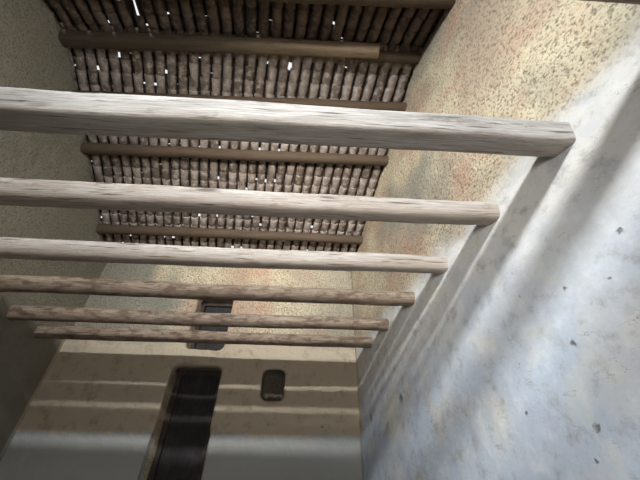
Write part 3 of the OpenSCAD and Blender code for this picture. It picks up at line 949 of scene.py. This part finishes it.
class HOUSE_OT_tiles(bpy.types.Operator):
    """Lays pans and covers on both slopes, and the ridge tiles with their mud bedding"""

    bl_idname = "house.tiles"
    bl_label = "Roof tiles"

    def execute(self, context):
        s, c = sizes(), colours()
        far = clay_tile("dusty_pan_tile", c.tile, c.tile_dark, "#c4baae")
        # painted shade: a darker copy of the pans for the front slope
        near = clay_tile("sooty_pan_tile", "#6b5c50", "#443a32", "#7b6a5d")
        # the covers take painted shade on their undersides
        above = clay_tile("weathered_cover_tile", c.tile_top, "#6d5546", c.lichen, 0.9)
        slope = math.atan(s.fall)
        length, first = 0.2, 0.025
        lap = math.asin(0.010 / s.tile_show)
        reach = s.half_d + s.wall + s.eaves - EAVES_INSET
        last = reach - length * math.cos(slope)
        rows = round((last - first) / (s.tile_show * math.cos(slope))) + 1
        across = 2 * (s.half_w + s.wall + s.verge)
        tree = tile_tree()
        pan = tile_shape("pan", ((0.0, 0.040), (0.008, 0.044), (length, 0.033)), 0.009, -1, 7)
        cover = tile_shape("cover", ((0.0, 0.037), (length, 0.043)), 0.009, 1, 5)
        columns = int(across / s.tile_pitch)
        slopes = {"Rows": rows, "Column Pitch": s.tile_pitch, "Row Run": (last - first) / (rows - 1)}
        slopes |= {"First Row": first, "Skew": math.tan(s.skew), "Ridge Height": s.ridge_z, "Fall": s.fall}
        slopes |= {"Askew": 0.05, "Slack": 0.004, "Hole": (*LOST_TILE, under(LOST_TILE[1]))}
        for side, half, below in ((-1, "front", near), (1, "back", far)):
            turn = (lap - slope, 0.0, s.skew + (0.0 if side > 0 else math.pi))
            shared = slopes | {"Side": float(side), "Turn": turn, "Hole Size": 0.1 if side < 0 else 0.0}
            values = {"Tile": pan, "Columns": columns, "Lift": 0.004, "Seed": 5 + side, "Finish": below}
            made = grow("tile_pans_" + half, tree, shared | values)
            dress(made, below, ["roof_" + half])
            values = {"Tile": cover, "Columns": columns - 1, "Lift": 0.04, "Seed": 15 + side, "Finish": above}
            made = grow("tile_covers_" + half, tree, shared | values | {"Slipped": 0.85, "Slip": 0.128})
            dress(made, above)
        length, columns = 0.36, 15
        ridge = tile_shape("ridge_tile", ((0.0, 0.108), (0.012, 0.112), (length, 0.118)), 0.012, 1, 10)
        values = {"Tile": ridge, "Columns": columns, "Rows": 1, "First Row": 0.0, "Ridge Height": s.ridge_z}
        values |= {"Column Pitch": (across - 0.03 - length) / (columns - 1), "Lift": 0.056, "Seed": 31}
        values |= {"Turn": (0.02, 0.0, -math.pi / 2), "Askew": 0.02, "Finish": above}
        made = grow("ridge_row", tree, values, Matrix.Translation((-length / 2, 0.0, 0.0)))
        dress(made, above, ["ridge_tiles"])
        for shape in (pan, cover, ridge):
            bpy.data.objects.remove(shape)
        beds = []
        for start, end in RIDGE_BEDS:
            corners = (start, -0.104, s.ridge_z - 0.004), (end, 0.104, s.ridge_z + 0.135)
            beds.append(hewn("bed", log_tree(), *corners, 0, 4.0, 4.0, 0.01, 80))
        dress(joined("ridge_bedding", beds), mineral_finish("ridge_mud", c.earth, 0.012))
        return {"FINISHED"}


class HOUSE_OT_timber(bpy.types.Operator):
    """Lays the lintels, the plates and the posts, and finishes the frames"""

    bl_idname = "house.timber"
    bl_label = "Lintels, plates, posts and frames"

    def execute(self, context):
        s, c = sizes(), colours()
        tree = log_tree()
        lying = timber_finish("weathered_beam", c.beam, 0)
        upright = timber_finish("weathered_post", c.beam, 2)
        for name, outward in (("lintel_front", -1), ("lintel_back", 1), ("lintel_loft", 1)):
            low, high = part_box(name)
            outer = outward * (s.half_d + s.wall)
            poles = []
            for k in range(4):
                y = sorted(outer - outward * LINTEL_POLE * step for step in (k, k + 1))
                corners = (low[0], y[0], low[2]), (high[0], y[1], high[2])
                poles.append(hewn("pole", tree, *corners, 0, 5.1 * k + outer, 2.6, 0.008, 40, 24))
            dress(joined(name + "_poles", poles), lying, [name])
        for seed, name in enumerate(("plate_front", "plate_back")):
            beam = hewn(name + "_beam", tree, *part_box(name), 0, 8.0 + seed, 6.0, 0.008, 110, 36)
            dress(beam, lying, [name])
        low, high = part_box("posts")
        side = high[1] - low[1]
        step = (high[0] - low[0] - side) / 2
        posts = []
        for k in range(3):
            x = low[0] + step * k
            corners = (x, low[1], low[2]), (x + side, high[1], high[2])
            posts.append(hewn("post", tree, *corners, 2, 3.0 + k, 6.0, 0.008, 40, 36))
        dress(joined("post_timbers", posts), upright, ["posts"])
        dark = timber_finish("smoky_frame", c.frame, 2)
        for name in ("frame_back", "frame_loft"):
            frame["nodes"][name].data.materials.clear()
            frame["nodes"][name].data.materials.append(dark)
        return {"FINISHED"}


class HOUSE_OT_door(bpy.types.Operator):
    """Makes the plank leaf with its heel pole, and the plank shutter of the loft"""

    bl_idname = "house.door"
    bl_label = "Door and shutter"

    def execute(self, context):
        finish = timber_finish("smoky_planks", colours().plank, 2)
        low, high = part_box("door_leaf")
        heel_x, heel_y = low[0] + HEEL_RADIUS, high[1] - HEEL_RADIUS
        x0, z0, z1 = heel_x + 0.012, low[2] + 0.03, high[2] - 0.029
        ledges = [(x0 + 0.01, high[0] - 0.012, z, z + 0.09) for z in (z0 + 0.16, (z0 + z1) / 2, z1 - 0.25)]
        corners = (x0, low[1], z0), (high[0], high[1], z1)
        things = planked(*corners, x0 - PLANK_LAP, 4, 40, 6.0, ledges)
        for name, radius, bottom, top, seed, square, rough, rings in (
            ("heel", HEEL_RADIUS, z0, z1, 21.0, 2.4, 0.0015, 40),
            ("pivots", PIVOT_RADIUS, low[2], high[2], 22.0, 2.0, 0.0005, 20),
        ):
            corners = (heel_x - radius, heel_y - radius, bottom), (heel_x + radius, heel_y + radius, top)
            things.append(hewn(name, log_tree(), *corners, 2, seed, square, rough, rings, 24))
        dress(joined("door_planks", things), finish, ["door_leaf"], "door")
        low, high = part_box("shutter_loft")
        ledges = [(low[0] + 0.02, high[0] - 0.02, z, z + 0.07) for z in (low[2] + 0.06, high[2] - 0.13)]
        things = planked(low, high, low[0], 3, 20, 36.0, ledges)
        dress(joined("shutter_planks", things), finish, ["shutter_loft"])
        return {"FINISHED"}


class HOUSE_OT_ground(bpy.types.Operator):
    """Builds the rubble footings, the earth floor and the steps"""

    bl_idname = "house.ground"
    bl_label = "Footings, floor and steps"

    def execute(self, context):
        s, c = sizes(), colours()
        stone = mineral_finish("rubble_footing", c.stone, 0.012)
        earth = mineral_finish("beaten_earth", c.earth, 0.02)
        step = mineral_finish("hewn_step", hex_colour("#85807a"), 0.01)
        lump = bmesh.new()
        bmesh.ops.create_icosphere(lump, subdivisions=3, radius=1.0)
        for vertex in lump.verts:
            vertex.co *= 0.5 / sum(abs(v) ** 4 for v in vertex.co) ** 0.25
        seed_stone = solid_object("stone", lump)
        tree = stone_tree()
        out_w, out_d = s.half_w + s.wall + s.footing, s.half_d + s.wall + s.footing
        aside = math.pi / 2 + s.skew
        long_side = 2 * out_d / math.cos(s.skew)
        faces = (
            ("front", (lean(-out_d), -out_d + STONE_INSET), 0.0, 2 * out_w),
            ("back", (lean(out_d), out_d - STONE_INSET), 0.0, 2 * out_w),
            ("left", (-out_w + STONE_INSET, 0.0), aside, long_side),
            ("right", (out_w - STONE_INSET, 0.0), aside, long_side),
        )
        shared = {"Stone": seed_stone, "Height": s.floor_z, "Depth": 0.085, "Finish": stone}
        for seed, (name, (x, y), turn, length) in enumerate(faces):
            place = Matrix.Translation((x, y, 0.0)) @ Matrix.Rotation(turn, 4, "Z")
            values = {"Length": length - 0.02, "Stones": round(length / STONE_LENGTH), "Seed": 60 + seed}
            courses = grow("footing_stones_" + name, tree, shared | values, place)
            stand_on_ground(courses.data)
            dress(courses, stone, ["footing_" + name])
        bpy.data.objects.remove(seed_stone)
        half_w, half_d = out_w - MORTAR_INSET, out_d - MORTAR_INSET
        points = leaning_points(-half_w, half_w, -half_d, half_d, 0.004, s.floor_z - 0.01)
        dress(hull("footing_mortar", points), earth)
        points = leaning_points(-s.half_w, s.half_w, -s.half_d, s.half_d, 0.05, s.floor_z)
        ground = remeshed(hull("earth_floor", points), 0.05)

        def worn(p):
            return ripple(p, 0.5, 2.0) * 0.006 + ripple(p, 0.12, 5.0) * 0.003 - 0.006

        shift_along_normals(ground.data, worn)
        dress(ground, earth, ["floor"])
        for seed, name in enumerate(("step_front", "step_back")):
            slab = hewn(name + "_slab", log_tree(), *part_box(name), 0, 50.0 + seed, 9.0, 0.012, 60, 48)
            stand_on_ground(slab.data)
            dress(slab, step, [name])
        return {"FINISHED"}


class HOUSE_OT_stage(bpy.types.Operator):
    """Sets the floor, the light and the camera"""

    bl_idname = "house.stage"
    bl_label = "Stage"

    def execute(self, context):
        scene = context.scene
        scene.view_settings.view_transform = "Standard"
        mesh = bpy.data.meshes.new("stage_floor")
        mesh.from_pydata([(-40, -40, 0), (40, -40, 0), (40, 40, 0), (-40, 40, 0)], [], [(0, 1, 2, 3)])
        floor = link_object("stage_floor", mesh)
        pale = bpy.data.materials.new("pale_floor")
        pale.use_nodes = True
        shader = pale.node_tree.nodes["Principled BSDF"]
        shader.inputs["Base Color"].default_value = hex_colour("#d9d6d0")
        shader.inputs["Roughness"].default_value = 0.9
        mesh.materials.append(pale)
        world = bpy.data.worlds.new("soft_sky")
        world.use_nodes = True
        world.node_tree.nodes.clear()
        put = functools.partial(add, world.node_tree)
        ray = put("LightPath").outputs
        seen = put("Math ADD", ray["Is Camera Ray"], ray["Is Glossy Ray"])
        seen = put("Math ADD", seen, ray["Is Transmission Ray"])
        strength = put("MapRange", seen, {3: 0.75, 4: 1.0})
        sky = put("Background", "#f4f6f8", strength)
        put("OutputWorld", sky)
        scene.world = world
        for name, place, aim, power, shape, spread, tint in LAMPS:
            lamp = bpy.data.lights.new(name, "AREA")
            lamp.shape = "RECTANGLE"
            lamp.size, lamp.size_y = shape
            lamp.energy = power
            lamp.spread = math.radians(spread)
            lamp.color = hex_colour(tint)[:3]
            lamp.use_nodes = True
            even = add(lamp.node_tree, "LightFalloff", 1.0).outputs["Linear"]
            lamp.node_tree.links.new(even, lamp.node_tree.nodes["Emission"].inputs["Strength"])
            thing = link_object(name, lamp)
            thing.location = place
            thing.rotation_euler = Vector(aim).to_track_quat("-Z", "Y").to_euler()
            thing.visible_camera = False
        sun = bpy.data.lights.new("soft_sun", "SUN")
        sun.energy = 1.6
        sun.angle = math.radians(12)
        thing = link_object("soft_sun", sun)
        thing.rotation_euler = Vector((0.5, 0.55, -1.0)).to_track_quat("-Z", "Y").to_euler()
        self.set_camera(scene)
        return {"FINISHED"}

    def set_camera(self, scene):
        """The photograph's eye, low in the room, looking forward and up."""
        turn, rise, roll = (math.radians(angle) for angle in EYE_TURNS)
        eye = bpy.data.cameras.new("eye")
        eye.lens = eye.sensor_width * FOCAL_LENGTH / PHOTO_WIDTH
        eye.clip_start = 0.05
        camera = link_object("eye", eye)
        camera.matrix_world = Matrix.Translation(EYE)
        for angle, axis in ((turn, "Z"), (math.pi / 2 + rise, "X"), (roll, "Z")):
            camera.matrix_world @= Matrix.Rotation(angle, 4, axis)
        scene.camera = camera


OPERATORS = (
    HOUSE_OT_stage,
    HOUSE_OT_walls,
    HOUSE_OT_joists,
    HOUSE_OT_purlins,
    HOUSE_OT_tiles,
    HOUSE_OT_timber,
    HOUSE_OT_door,
    HOUSE_OT_ground,
)


class HOUSE_PT_panel(bpy.types.Panel):
    """Lists the pieces of the house"""

    bl_idname = "HOUSE_PT_panel"
    bl_label = "Adobe House"
    bl_space_type = "VIEW_3D"
    bl_region_type = "UI"
    bl_category = "Adobe House"

    def draw(self, context):
        for operator in OPERATORS:
            self.layout.operator(operator.bl_idname)


CLASSES = (HouseSizes, HouseColours) + OPERATORS + (HOUSE_PT_panel,)


def register():
    for cls in CLASSES:
        bpy.utils.register_class(cls)
    bpy.types.Scene.house_sizes = bpy.props.PointerProperty(type=HouseSizes)
    bpy.types.Scene.house_colours = bpy.props.PointerProperty(type=HouseColours)


def unregister():
    del bpy.types.Scene.house_colours
    del bpy.types.Scene.house_sizes
    for cls in reversed(CLASSES):
        bpy.utils.unregister_class(cls)


def main():
    register()
    bpy.ops.house.stage()
    bpy.ops.house.walls()
    bpy.ops.house.joists()
    bpy.ops.house.purlins()
    bpy.ops.house.tiles()
    bpy.ops.house.timber()
    bpy.ops.house.door()
    bpy.ops.house.ground()


if __name__ == "__main__":
    main()
